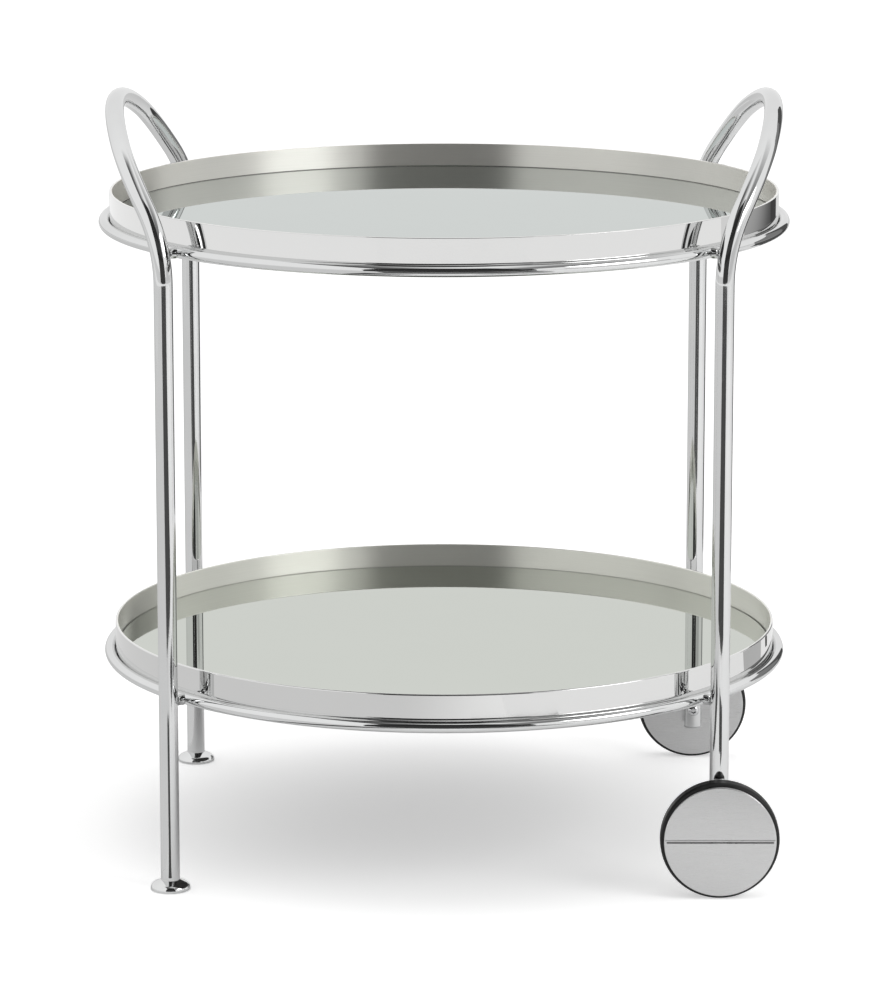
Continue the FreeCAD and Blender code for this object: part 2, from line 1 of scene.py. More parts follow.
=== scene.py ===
from math import asin, atan2, ceil, cos, pi, radians, sin, sqrt
import bmesh
import bpy
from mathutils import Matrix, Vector


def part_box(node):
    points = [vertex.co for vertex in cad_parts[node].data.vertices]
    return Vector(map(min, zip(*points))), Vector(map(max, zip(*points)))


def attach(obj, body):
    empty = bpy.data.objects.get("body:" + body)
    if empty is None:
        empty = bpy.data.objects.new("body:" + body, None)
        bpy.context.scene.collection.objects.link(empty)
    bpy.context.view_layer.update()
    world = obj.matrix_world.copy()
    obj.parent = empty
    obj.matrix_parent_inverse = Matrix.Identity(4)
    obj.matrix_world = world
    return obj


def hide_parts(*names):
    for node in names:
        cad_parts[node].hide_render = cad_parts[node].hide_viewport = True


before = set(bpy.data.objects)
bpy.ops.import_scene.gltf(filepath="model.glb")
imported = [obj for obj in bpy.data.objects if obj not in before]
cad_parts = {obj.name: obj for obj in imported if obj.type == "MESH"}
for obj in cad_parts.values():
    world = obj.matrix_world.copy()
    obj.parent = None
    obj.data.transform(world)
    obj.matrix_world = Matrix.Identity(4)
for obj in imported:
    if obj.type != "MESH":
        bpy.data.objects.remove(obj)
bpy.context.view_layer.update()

# Side hoops. Each is one length of 20 mm steel tube, bent cold into a front leg, a handle that leans outwards
# and a rear leg, then polished and chrome plated. Welded stubs hold it to the two tray rings.
foot_low, foot_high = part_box("front_foot")
leg_x = -(foot_low.x + foot_high.x) / 2
leg_y = -(foot_low.y + foot_high.y) / 2
tube_radius = 0.010
left_leg_end = 0.0112
right_leg_end = 0.0425
bend_start = 0.644
lean_radius = 0.162
lean = radians(28.3)
shoulder_radius = 0.152
shoulder_turn = radians(68.5)
top_radius = (leg_y - shoulder_radius * (1 - cos(shoulder_turn))) / cos(shoulder_turn)
tube_sides = 48
bend_step = radians(3)
hoop_seam = 0.0001
edge_angle = 35


def deselect():
    bpy.ops.object.select_all(action="DESELECT")


def take(piece):
    """Makes a piece the only one selected."""
    deselect()
    piece.select_set(True)
    bpy.context.view_layer.objects.active = piece


def apply_last(piece):
    bpy.ops.object.modifier_apply(modifier=piece.modifiers[-1].name)


def smooth(piece, crisp_from=edge_angle):
    """Smooth faces with crisp edges, the large faces kept true."""
    take(piece)
    bpy.ops.object.shade_smooth_by_angle(angle=radians(crisp_from))
    bpy.ops.object.modifier_add(type="WEIGHTED_NORMAL")
    piece.modifiers[-1].keep_sharp = True
    apply_last(piece)


def belongs(piece, material, slot, body, *nodes):
    """Gives a piece its material and its place on the cart."""
    piece.data.materials.clear()
    piece.data.materials.append(material)
    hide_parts(*nodes)
    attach(piece, body)


def handle_station(heading, side):
    """Point and direction of the handle's middle line where its flat arch has turned by heading."""
    turned_by = min(heading, shoulder_turn)
    span = leg_y - shoulder_radius * (1 - cos(turned_by))
    run = shoulder_radius * sin(turned_by)
    if heading > shoulder_turn:
        span -= top_radius * (cos(shoulder_turn) - cos(heading))
        run += top_radius * (sin(heading) - sin(shoulder_turn))
    tilt = min(run / lean_radius, lean)
    straight = run - tilt * lean_radius
    out = leg_x + lean_radius * (1 - cos(tilt)) + straight * sin(tilt)
    up = bend_start + lean_radius * sin(tilt) + straight * cos(tilt)
    point = Vector((side * out, -span, up))
    way = Vector((side * cos(heading) * sin(tilt), sin(heading), cos(heading) * cos(tilt)))
    return point, way


def bend(start, way, end):
    """Centre, axis and angle of the bend that leaves a point along a direction and reaches another."""
    chord = end - start
    inward = way.cross(chord).cross(way).normalized()
    centre = start + inward * chord.dot(chord) / (2 * chord.dot(inward))
    return centre, way.cross(inward), (start - centre).angle(end - centre)


def bend_pair(here, after):
    """Two bends that join two stations and keep both directions."""
    (start, way_out), (end, way_in) = here, after
    chord = end - start
    ways = way_out + way_in
    square = ways.dot(ways) - 4
    linear = -2 * chord.dot(ways)
    root = sqrt(linear * linear - 4 * square * chord.dot(chord))
    reach = (-linear - root) / (2 * square)
    joint = (start + way_out * reach + end - way_in * reach) / 2
    centre, axis, angle = bend(end, -way_in, joint)
    return [bend(start, way_out, joint), (centre, -axis, angle)]


def bent_hoop(name, side, leg_end):
    """A front leg and half a handle, swept from the leg's end, then mirrored to the rear."""
    deselect()
    bpy.ops.mesh.primitive_circle_add(
        vertices=tube_sides, radius=tube_radius, location=(side * leg_x, -leg_y, leg_end))
    hoop = bpy.context.object
    hoop.name = hoop.data.name = name
    bpy.ops.object.transform_apply(location=True)
    bpy.ops.object.mode_set(mode="EDIT")
    bpy.ops.mesh.select_all(action="SELECT")
    bpy.ops.mesh.extrude_region_move(TRANSFORM_OT_translate={"value": (0, 0, bend_start - leg_end)})
    lean_end = asin(lean_radius * lean / shoulder_radius)
    headings = (0, lean_end / 2, lean_end, shoulder_turn, pi / 2)
    stations = [handle_station(heading, side) for heading in headings]
    for here, after in zip(stations, stations[1:]):
        for centre, axis, angle in bend_pair(here, after):
            bpy.ops.mesh.spin(steps=ceil(angle / bend_step), angle=-angle, center=centre, axis=axis)
    bpy.ops.object.mode_set(mode="OBJECT")
    bpy.ops.object.modifier_add(type="MIRROR")
    hoop.modifiers[-1].use_axis = (False, True, False)
    hoop.modifiers[-1].merge_threshold = hoop_seam
    apply_last(hoop)
    bpy.ops.object.mode_set(mode="EDIT")
    bpy.ops.mesh.select_all(action="SELECT")
    bpy.ops.mesh.fill_holes(sides=0)
    bpy.ops.mesh.select_all(action="SELECT")
    bpy.ops.mesh.normals_make_consistent(inside=False)
    bpy.ops.object.mode_set(mode="OBJECT")
    smooth(hoop)
    return hoop


# Wear of a polished surface: wiped haze in patches, and rubbing marks too fine to see singly.
wear = bpy.data.node_groups.new("rubbed_polish", "ShaderNodeTree")
for socket, value in (("Gloss", 0.03), ("Haze", 0.05), ("Patches", 14.0), ("Marks", 900.0)):
    wear.interface.new_socket(socket, in_out="INPUT", socket_type="NodeSocketFloat").default_value = value
for socket in ("Roughness", "Tone", "Height"):
    wear.interface.new_socket(socket, in_out="OUTPUT", socket_type="NodeSocketFloat")
wear_in = wear.nodes.new("NodeGroupInput")
wear_out = wear.nodes.new("NodeGroupOutput")
wear_place = wear.nodes.new("ShaderNodeTexCoord")
patches = wear.nodes.new("ShaderNodeTexNoise")
patches.inputs["Detail"].default_value = 5
patches.inputs["Roughness"].default_value = 0.62
marks = wear.nodes.new("ShaderNodeTexNoise")
marks.inputs["Detail"].default_value = 3
haze_range = wear.nodes.new("ShaderNodeMapRange")
haze_range.inputs["From Min"].default_value = 0.42
haze_range.inputs["From Max"].default_value = 0.78
haze = wear.nodes.new("ShaderNodeMath")
haze.operation = "MULTIPLY_ADD"
wear.links.new(wear_place.outputs["Object"], patches.inputs["Vector"])
wear.links.new(wear_place.outputs["Object"], marks.inputs["Vector"])
wear.links.new(wear_in.outputs["Patches"], patches.inputs["Scale"])
wear.links.new(wear_in.outputs["Marks"], marks.inputs["Scale"])
wear.links.new(patches.outputs["Fac"], haze_range.inputs["Value"])
wear.links.new(haze_range.outputs["Result"], haze.inputs[0])
wear.links.new(wear_in.outputs["Haze"], haze.inputs[1])
wear.links.new(wear_in.outputs["Gloss"], haze.inputs[2])
wear.links.new(haze.outputs["Value"], wear_out.inputs["Roughness"])
wear.links.new(patches.outputs["Fac"], wear_out.inputs["Tone"])
wear.links.new(marks.outputs["Fac"], wear_out.inputs["Height"])


def new_material(name):
    """An empty material with its shader, ready to be wired."""
    material = bpy.data.materials.new(name)
    material.use_nodes = True
    return material, material.node_tree, material.node_tree.nodes["Principled BSDF"]


def tone_ramp(tree, source, shader, low, high, spread=(0.3, 0.7)):
    """Base colour between two tones, led by a value that changes over the surface."""
    ramp = tree.nodes.new("ShaderNodeValToRGB")
    for element, place, colour in zip(ramp.color_ramp.elements, spread, (low, high)):
        element.position = place
        element.color = (*colour, 1)
    tree.links.new(source, ramp.inputs["Fac"])
    tree.links.new(ramp.outputs["Color"], shader.inputs["Base Color"])


def bumped(tree, source, shader, strength, distance):
    """Fine relief from a height that changes over the surface."""
    relief = tree.nodes.new("ShaderNodeBump")
    relief.inputs["Strength"].default_value = strength
    relief.inputs["Distance"].default_value = distance
    tree.links.new(source, relief.inputs["Height"])
    tree.links.new(relief.outputs["Normal"], shader.inputs["Normal"])


plated_edge = (0.85, 0.85, 0.85, 1)


def worn(tree, gloss, haze_depth, patch_scale):
    """The wear of a polished surface, set for one material."""
    polish = tree.nodes.new("ShaderNodeGroup")
    polish.node_tree = wear
    polish.inputs["Gloss"].default_value = gloss
    polish.inputs["Haze"].default_value = haze_depth
    polish.inputs["Patches"].default_value = patch_scale
    return polish


def plated(name, low, high, gloss, haze_depth, patch_scale):
    """Polished, chrome-plated metal with a little wiped haze."""
    material, tree, shader = new_material(name)
    shader.inputs["Metallic"].default_value = 1
    shader.inputs["Specular Tint"].default_value = plated_edge
    polish = worn(tree, gloss, haze_depth, patch_scale)
    tree.links.new(polish.outputs["Roughness"], shader.inputs["Roughness"])
    tone_ramp(tree, polish.outputs["Tone"], shader, low, high)
    bumped(tree, polish.outputs["Height"], shader, strength=0.008, distance=0.00002)
    return material


chrome_tones = (0.72, 0.725, 0.725), (0.755, 0.76, 0.76)
tube_chrome = plated("tube_chrome", *chrome_tones, gloss=0.035, haze_depth=0.05, patch_scale=16)
for side_name, side, leg_end in (("left", -1, left_leg_end), ("right", 1, right_leg_end)):
    hoop = bent_hoop(f"hoop_{side_name}", side, leg_end)
    belongs(hoop, tube_chrome, "tube_chrome", "frame", f"{side_name}_hoop")

# Tray rings. Each is a round 12 mm bar rolled into a ring, butt welded, polished and chrome plated. It hugs
# the foot of the tray's band, carries the tabs under the tray, and takes the welds of the stubs.
ring_radius = 0.366
ring_bar = 0.00588
tray_tops = {"upper": 0.708, "lower": 0.236}
ring_drop = 0.033
round_steps = 192
bar_sides = 32
same_place = 0.00001
ring_chrome = plated("ring_chrome", *chrome_tones, gloss=0.03, haze_depth=0.04, patch_scale=12)


def closed_spin(steps):
    """Spins the drawn outline once round Z and closes its seam and poles."""
    bpy.ops.mesh.select_all(action="SELECT")
    bpy.ops.mesh.spin(steps=steps, angle=2 * pi, center=(0, 0, 0), axis=(0, 0, 1))
    bpy.ops.mesh.select_all(action="SELECT")
    bpy.ops.mesh.remove_doubles(threshold=same_place)
    bpy.ops.mesh.delete_loose()
    bpy.ops.mesh.select_all(action="SELECT")
    bpy.ops.mesh.normals_make_consistent(inside=False)
    bpy.ops.object.mode_set(mode="OBJECT")


for tray, tray_top in tray_tops.items():
    deselect()
    bpy.ops.mesh.primitive_circle_add(
        vertices=bar_sides, radius=ring_bar, location=(ring_radius, 0, tray_top - ring_drop),
        rotation=(pi / 2, 0, 0))
    ring = bpy.context.object
    ring.name = ring.data.name = f"ring_{tray}"
    bpy.ops.object.transform_apply(location=True, rotation=True)
    bpy.ops.object.mode_set(mode="EDIT")
    closed_spin(round_steps)
    smooth(ring)
    belongs(ring, ring_chrome, "ring_chrome", "frame", f"{tray}_ring")

# Stubs. Short lengths of 11 mm bar set straight out from a ring to a leg, welded at both ends. The welds are
# dressed to a small even fillet before the frame is plated.
stub_radius = 0.0055
stub_start = ring_radius
stub_stages = ((0.0052, 0.0061), (0.0070, 0.0056), (0.0105, 0.0055), (0.0125, 0.0060), (0.0150, 0.0072))
weld_edge_angle = 50


def welded_stub(name, place):
    """A bar from the ring to a leg, with a fillet of weld at each end."""
    azimuth = atan2(place.y, place.x)
    outward = Vector((cos(azimuth), sin(azimuth), 0))
    deselect()
    bpy.ops.mesh.primitive_circle_add(
        vertices=bar_sides, radius=stub_radius, fill_type="NGON", rotation=(0, pi / 2, azimuth),
        location=outward * stub_start + Vector((0, 0, place.z)))
    stub = bpy.context.object
    stub.name = stub.data.name = name
    bpy.ops.object.transform_apply(location=True, rotation=True)
    bpy.ops.object.mode_set(mode="EDIT")
    bpy.ops.mesh.select_all(action="SELECT")
    reached, radius = 0, stub_radius
    for reach, next_radius in stub_stages:
        bpy.ops.mesh.extrude_region_move(TRANSFORM_OT_translate={"value": outward * (reach - reached)})
        bpy.ops.transform.resize(
            value=(next_radius / radius,) * 3,
            center_override=outward * (stub_start + reach) + Vector((0, 0, place.z)))
        reached, radius = reach, next_radius
    bpy.ops.mesh.select_all(action="SELECT")
    bpy.ops.mesh.normals_make_consistent(inside=False)
    bpy.ops.object.mode_set(mode="OBJECT")
    smooth(stub, weld_edge_angle)
    return stub


for tray in tray_tops:
    for end_name in ("front", "rear"):
        for side_name in ("left", "right"):
            node = f"{tray}_{end_name}_{side_name}_stub"
            low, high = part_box(node)
            stub = welded_stub(f"stub_{tray}_{end_name}_{side_name}", (low + high) / 2)
            belongs(stub, ring_chrome, "ring_chrome", "frame", node)

# Tray bands. Each is a strip of 3 mm stainless steel rolled into a hoop and welded. The outside is polished
# bright, the inside is left with the fine brushing that runs round it, and the top edges are eased.
band_radius = 0.360
band_wall = 0.003
band_height = 0.036
band_edges = {"upper": 0.0004, "lower": 0.0012}
edge_strip = 0.0003
corner_cuts = 8
first_size = 0.001


def pick(piece, wanted):
    """Selects the vertices whose place passes a test."""
    bpy.ops.mesh.select_mode(type="VERT")
    bpy.ops.mesh.select_all(action="DESELECT")
    mesh = bmesh.from_edit_mesh(piece.data)
    for vertex in mesh.verts:
        if wanted(vertex.co):
            vertex.select_set(True)
    mesh.select_flush_mode()
    bmesh.update_edit_mesh(piece.data)


def drawn(name, corners):
    """A flat face drawn from corner to corner and left in edit mode."""
    deselect()
    bpy.ops.mesh.primitive_plane_add(size=first_size, location=corners[0])
    piece = bpy.context.object
    piece.name = piece.data.name = name
    bpy.ops.object.transform_apply(location=True)
    bpy.ops.object.mode_set(mode="EDIT")
    bpy.ops.mesh.select_all(action="SELECT")
    bpy.ops.mesh.merge(type="CENTER")
    for here, after in zip(corners, corners[1:]):
        bpy.ops.mesh.extrude_region_move(TRANSFORM_OT_translate={"value": Vector(after) - Vector(here)})
    bpy.ops.mesh.select_all(action="SELECT")
    bpy.ops.mesh.edge_face_add()
    return piece


def turned(name, outline, roundings, steps):
    """A round piece about Z: its outline, as radius and height, is drawn, rounded at corners and spun."""
    corners = [Vector((radius, 0, height)) for radius, height in outline]
    piece = drawn(name, corners)
    for corner, rounding in roundings:
        pick(piece, lambda place: (place - corners[corner]).length < same_place)
        bpy.ops.mesh.bevel(
            offset=rounding, offset_type="OFFSET", segments=corner_cuts, profile=0.5, affect="VERTICES")
    bpy.ops.mesh.select_all(action="SELECT")
    bpy.ops.mesh.delete(type="ONLY_FACE")
    closed_spin(steps)
    return piece


# Hairlines of a brushed or ground surface: streaks that run along two directions and change along a third.
hairline = bpy.data.node_groups.new("brushed_hairline", "ShaderNodeTree")
along = hairline.interface.new_socket("Along", in_out="INPUT", socket_type="NodeSocketVector")
along.default_value = (6, 6, 1300)
for socket in ("Streak", "Fine"):
    hairline.interface.new_socket(socket, in_out="OUTPUT", socket_type="NodeSocketFloat")
hairline_in = hairline.nodes.new("NodeGroupInput")
hairline_out = hairline.nodes.new("NodeGroupOutput")
hairline_place = hairline.nodes.new("ShaderNodeTexCoord")
stretch = hairline.nodes.new("ShaderNodeVectorMath")
stretch.operation = "MULTIPLY"
streaks = hairline.nodes.new("ShaderNodeTexNoise")
streaks.inputs["Scale"].default_value = 1
streaks.inputs["Detail"].default_value = 4
streaks.inputs["Roughness"].default_value = 0.7
fine_streaks = hairline.nodes.new("ShaderNodeTexNoise")
fine_streaks.inputs["Scale"].default_value = 4.3
fine_streaks.inputs["Detail"].default_value = 2
hairline.links.new(hairline_place.outputs["Object"], stretch.inputs[0])
hairline.links.new(hairline_in.outputs["Along"], stretch.inputs[1])
hairline.links.new(stretch.outputs["Vector"], streaks.inputs["Vector"])
hairline.links.new(stretch.outputs["Vector"], fine_streaks.inputs["Vector"])
hairline.links.new(streaks.outputs["Fac"], hairline_out.inputs["Streak"])
hairline.links.new(fine_streaks.outputs["Fac"], hairline_out.inputs["Fine"])


def value_between(tree, mask, low, high):
    """A value that goes from low to high as a mask goes from 0 to 1; each end is a number or a socket."""
    blend = tree.nodes.new("ShaderNodeMix")
    tree.links.new(mask, blend.inputs["Factor"])
    for end, value in (("A", low), ("B", high)):
        if isinstance(value, (int, float)):
            blend.inputs[end].default_value = value
        else:
            tree.links.new(value, blend.inputs[end])
    return blend.outputs["Result"]


def colour_between(tree, mask, low, high):
    """A colour that goes from low to high as a mask goes from 0 to 1; each end is a colour or a socket."""
    blend = tree.nodes.new("ShaderNodeMix")
    blend.data_type = "RGBA"
    sockets = {socket.identifier: socket for socket in blend.inputs}
    tree.links.new(mask, sockets["Factor_Float"])
    for end, colour in (("A_Color", low), ("B_Color", high)):
        if isinstance(colour, tuple):
            sockets[end].default_value = (*colour, 1)
        else:
            tree.links.new(colour, sockets[end])
    return next(socket for socket in blend.outputs if socket.identifier == "Result_Color")


def on_upper_tray(tree, axes):
    """1 on the upper tray, 0 on the lower one."""
    upper = tree.nodes.new("ShaderNodeMapRange")
    upper.inputs["From Min"].default_value = tray_tops["lower"]
    upper.inputs["From Max"].default_value = tray_tops["upper"] - band_height
    tree.links.new(axes.outputs["Z"], upper.inputs["Value"])
    return upper.outputs["Result"]


mirror_top = 0.010
# Height of the painted shadow line above the mirror, and of its fully dark core.
seam_shade_height = 0.0008
seam_shade_core = 0.8 * seam_shade_height
brushed_to = 0.7 * band_wall
polished_from = 0.4 * band_wall

band_steel, tree, shader = new_material("band_steel")
shader.inputs["Anisotropic"].default_value = 0.75
shader.inputs["Anisotropic Rotation"].default_value = 0.25
round_axis = tree.nodes.new("ShaderNodeTangent")
round_axis.direction_type = "RADIAL"
round_axis.axis = "Z"
tree.links.new(round_axis.outputs["Tangent"], shader.inputs["Tangent"])
band_place = tree.nodes.new("ShaderNodeTexCoord")
flat_place = tree.nodes.new("ShaderNodeVectorMath")
flat_place.operation = "MULTIPLY"
flat_place.inputs[1].default_value = (1, 1, 0)
from_middle = tree.nodes.new("ShaderNodeVectorMath")
from_middle.operation = "LENGTH"
outside = tree.nodes.new("ShaderNodeMapRange")
outside.inputs["From Min"].default_value = band_radius - brushed_to
outside.inputs["From Max"].default_value = band_radius - polished_from
tree.links.new(band_place.outputs["Object"], flat_place.inputs[0])
tree.links.new(flat_place.outputs["Vector"], from_middle.inputs[0])
tree.links.new(from_middle.outputs["Value"], outside.inputs["Value"])
polish = worn(tree, gloss=0.02, haze_depth=0.03, patch_scale=9)
brushing = tree.nodes.new("ShaderNodeGroup")
brushing.node_tree = hairline
brushed_gloss = value_between(tree, brushing.outputs["Streak"], 0.24, 0.38)
tree.links.new(
    value_between(tree, outside.outputs["Result"], brushed_gloss, polish.outputs["Roughness"]),
    shader.inputs["Roughness"])
# The two bands' insides are painted in different tones, darker and warmer on the upper band: painted shade on
# the upper band's inside, on one and the same steel.
lower_inside = colour_between(tree, brushing.outputs["Streak"], (0.85, 0.845, 0.795), (0.95, 0.945, 0.895))
upper_inside = colour_between(tree, brushing.outputs["Streak"], (0.755, 0.735, 0.695), (0.865, 0.84, 0.795))
outside_tone = colour_between(tree, polish.outputs["Tone"], (0.73, 0.73, 0.725), (0.77, 0.77, 0.765))
band_axes = tree.nodes.new("ShaderNodeSeparateXYZ")
above_lower_joint = tree.nodes.new("ShaderNodeMath")
above_lower_joint.operation = "SUBTRACT"
above_lower_joint.inputs[1].default_value = tray_tops["lower"] - band_height + mirror_top
above_joint = tree.nodes.new("ShaderNodeMath")
above_joint.operation = "MODULO"
above_joint.inputs[1].default_value = tray_tops["upper"] - tray_tops["lower"]
# Painted shadow line: the inside is painted dark in a strip 0.8 mm high just above the mirror, where band and
# mirror meet. It is near black on the upper band and light grey on the lower one.
joint = tree.nodes.new("ShaderNodeMapRange")
joint.inputs["From Min"].default_value = seam_shade_height
joint.inputs["From Max"].default_value = seam_shade_core
tree.links.new(band_place.outputs["Object"], band_axes.inputs["Vector"])
tree.links.new(band_axes.outputs["Z"], above_lower_joint.inputs[0])
tree.links.new(above_lower_joint.outputs["Value"], above_joint.inputs[0])
tree.links.new(above_joint.outputs["Value"], joint.inputs["Value"])
upper_band = on_upper_tray(tree, band_axes)
seam_shade_tone = colour_between(tree, upper_band, (0.72, 0.715, 0.68), (0.10, 0.10, 0.095))
inside_sheen = value_between(tree, upper_band, 0.70, 0.86)
tree.links.new(value_between(tree, outside.outputs["Result"], inside_sheen, 1), shader.inputs["Metallic"])
inside_tone = colour_between(tree, upper_band, lower_inside, upper_inside)
inside_tone = colour_between(tree, joint.outputs["Result"], inside_tone, seam_shade_tone)
tree.links.new(
    colour_between(tree, outside.outputs["Result"], inside_tone, outside_tone), shader.inputs["Base Color"])
bumped(
    tree, value_between(tree, outside.outputs["Result"], brushing.outputs["Fine"], polish.outputs["Height"]),
    shader, strength=0.02, distance=0.00002)

for tray, tray_top in tray_tops.items():
    foot = tray_top - band_height
    inner = band_radius - band_wall
    band_edge = band_edges[tray]
    strip = tray_top - band_edge - edge_strip
    band = turned(f"band_{tray}", (
        (band_radius, foot), (band_radius, strip), (band_radius, tray_top),
        (inner, tray_top), (inner, strip), (inner, foot)), ((2, band_edge), (3, band_edge)), round_steps)
    smooth(band)
    belongs(band, band_steel, "band_steel", "frame", f"{tray}_tray_band")

# Mirror floors. Each is a disc of 4 mm float glass, silvered on its back, with its rim ground to a small
# bevel. It lies loose on the backing board inside the band.
mirror_radius = 0.3558
mirror_base = 0.006
mirror_thickness = 0.004
mirror_bevel = 0.0006

mirror_glass, tree, shader = new_material("mirror_glass")
shader.inputs["Metallic"].default_value = 1
shader.inputs["Specular Tint"].default_value = (0.77, 0.78, 0.77, 1)
polish = worn(tree, gloss=0.008, haze_depth=0.022, patch_scale=7)
tree.links.new(polish.outputs["Roughness"], shader.inputs["Roughness"])
# The two mirrors are painted in different tints, the lower one a little lighter and warmer than the upper:
# painted differences in what the same glass reflects.
lower_glass = colour_between(tree, polish.outputs["Tone"], (0.675, 0.695, 0.645), (0.695, 0.715, 0.665))
upper_glass = colour_between(tree, polish.outputs["Tone"], (0.645, 0.685, 0.675), (0.665, 0.705, 0.695))
glass_place = tree.nodes.new("ShaderNodeTexCoord")
glass_axes = tree.nodes.new("ShaderNodeSeparateXYZ")
tree.links.new(glass_place.outputs["Object"], glass_axes.inputs["Vector"])
tree.links.new(
    colour_between(tree, on_upper_tray(tree, glass_axes), lower_glass, upper_glass),
    shader.inputs["Base Color"])

for tray, tray_top in tray_tops.items():
    base = tray_top - band_height + mirror_base
    top = base + mirror_thickness
    mirror = turned(f"mirror_{tray}", (
        (0, base), (mirror_radius - mirror_bevel, base), (mirror_radius, base + mirror_bevel),
        (mirror_radius, top - mirror_bevel), (mirror_radius - mirror_bevel, top), (0, top)), (), round_steps)
    smooth(mirror)
    belongs(mirror, mirror_glass, "mirror_glass", "frame", f"{tray}_tray_mirror")

# Tray boards, tabs and screws, all under the trays. The boards are discs of hard fibreboard, the tabs are
# pressed from zinc-plated strip and welded to the ring, and a pan-head screw through each holds the board.
def grainy(name, roughness, scale, low, high, relief, depth, detail=2, coarse=0.5):
    """A dull material with an even grain."""
    material, tree, shader = new_material(name)
    shader.inputs["Roughness"].default_value = roughness
    place = tree.nodes.new("ShaderNodeTexCoord")
    grain = tree.nodes.new("ShaderNodeTexNoise")
    grain.inputs["Scale"].default_value = scale
    grain.inputs["Detail"].default_value = detail
    grain.inputs["Roughness"].default_value = coarse
    tree.links.new(place.outputs["Object"], grain.inputs["Vector"])
    tone_ramp(tree, grain.outputs["Fac"], shader, low, high)
    bumped(tree, grain.outputs["Fac"], shader, relief, depth)
    return material


board = grainy(
    "board", roughness=0.8, scale=420, low=(0.030, 0.029, 0.028), high=(0.065, 0.063, 0.060),
    relief=0.25, depth=0.0002, detail=6, coarse=0.75)


def dress(material, *names):
    """Gives carried-over nodes their finished material."""
    for name in names:
        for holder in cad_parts[name].material_slots:
            holder.material = material


fixing_steel, tree, shader = new_material("fixing_steel")
shader.inputs["Metallic"].default_value = 1
zinc = worn(tree, gloss=0.28, haze_depth=0.22, patch_scale=120)
tree.links.new(zinc.outputs["Roughness"], shader.inputs["Roughness"])
tone_ramp(tree, zinc.outputs["Tone"], shader, (0.50, 0.515, 0.53), (0.68, 0.69, 0.70))
bumped(tree, zinc.outputs["Height"], shader, strength=0.1, distance=0.00005)
for tray in tray_tops:
    dress(board, f"{tray}_tray_board")
    dress(fixing_steel, f"{tray}_tray_tabs", f"{tray}_tray_screws")

# Feet of the left legs. Each is a disc turned from steel bar with a rounded cone on top, polished and chrome
# plated. Its threaded stud screws into an insert in the leg, and a felt pad is glued into the recess below.
foot_radius = 0.021
foot_base = 0.0005
foot_edge = 0.0058
foot_top = 0.0112
foot_run_in = 0.0039
foot_rim = 0.0006
foot_steps = 96
pad_radius = 0.0161
pad_seat = 0.002
stud_radius = 0.004
stud_top = 0.0272
foot_chrome = plated(
    "foot_chrome", (0.72, 0.725, 0.725), (0.76, 0.765, 0.765), gloss=0.04, haze_depth=0.05, patch_scale=40)


def put(piece, place, turn=(0, 0, 0)):
    """Sets a finished round piece in its place and keeps the place in its mesh."""
    take(piece)
    piece.location = place
    piece.rotation_euler = turn
    bpy.ops.object.transform_apply(location=True, rotation=True)


felt = grainy(
    "felt", roughness=0.95, scale=1600, low=(0.045, 0.045, 0.045), high=(0.12, 0.12, 0.12),
    relief=0.4, depth=0.0002, detail=4)

ends = {"front": -1, "rear": 1}
for end_name, end in ends.items():
    foot = turned(f"foot_{end_name}", (
        (0, pad_seat), (pad_radius, pad_seat), (pad_radius, foot_base), (foot_radius, foot_base),
        (foot_radius, foot_base + foot_edge), (tube_radius, foot_top), (stud_radius, foot_top),
        (stud_radius, stud_top), (0, stud_top)), ((3, foot_rim), (4, foot_run_in)), foot_steps)
    put(foot, (-leg_x, end * leg_y, 0))
    smooth(foot)
    belongs(foot, foot_chrome, "foot_chrome", "frame", f"{end_name}_foot")
    dress(felt, f"{end_name}_foot_pad")
    dress(fixing_steel, f"{end_name}_foot_insert")

# Axles of the right legs. A button-head bolt goes through each leg and a spreader sleeve, then a turned
# spacer, the wheel's bush, a washer and a lock nut. A moulded plug closes the end of the leg.
axle_height = 0.0625
head_radius = 0.0065
head_start = -0.0145
head_seat = -0.0100
head_round = 0.004
shank_radius = 0.004
shank_end = 0.0365
socket_radius = 0.0029
socket_depth = 0.0028
socket_sides = 6
bolt_steps = 64
bolt_chrome = plated(
    "bolt_chrome", (0.66, 0.665, 0.67), (0.73, 0.735, 0.74), gloss=0.06, haze_depth=0.08, patch_scale=90)


def cut_away(piece, cutter):
    """Cuts a shape out of a piece."""
    take(piece)
    bpy.ops.object.modifier_add(type="BOOLEAN")
    piece.modifiers[-1].operation = "DIFFERENCE"
    piece.modifiers[-1].solver = "EXACT"
    piece.modifiers[-1].object = cutter
    apply_last(piece)
    bpy.data.objects.remove(cutter)


def socketed(bolt):
    """Broaches the hexagon socket into a bolt's head."""
    deselect()
    bpy.ops.mesh.primitive_cylinder_add(
        vertices=socket_sides, radius=socket_radius, depth=2 * socket_depth, location=(0, 0, head_start))
    cut_away(bolt, bpy.context.object)


plug = grainy(
    "plug", roughness=0.55, scale=2200, low=(0.43, 0.43, 0.435), high=(0.55, 0.55, 0.555),
    relief=0.2, depth=0.0001)

for end_name, end in ends.items():
    bolt = turned(f"axle_bolt_{end_name}", (
        (0, head_start), (head_radius, head_start), (head_radius, head_seat), (shank_radius, head_seat),
        (shank_radius, shank_end), (0, shank_end)), ((1, head_round),), bolt_steps)
    socketed(bolt)
    put(bolt, (leg_x, end * leg_y, axle_height), (-end * pi / 2, 0, 0))
    smooth(bolt)
    belongs(bolt, bolt_chrome, "bolt_chrome", "frame", f"{end_name}_axle_bolt")
    dress(bolt_chrome, f"{end_name}_axle_spacer")
    dress(fixing_steel, f"{end_name}_axle_sleeve", f"{end_name}_axle_washer", f"{end_name}_axle_nut")
    dress(plug, f"{end_name}_leg_plug")

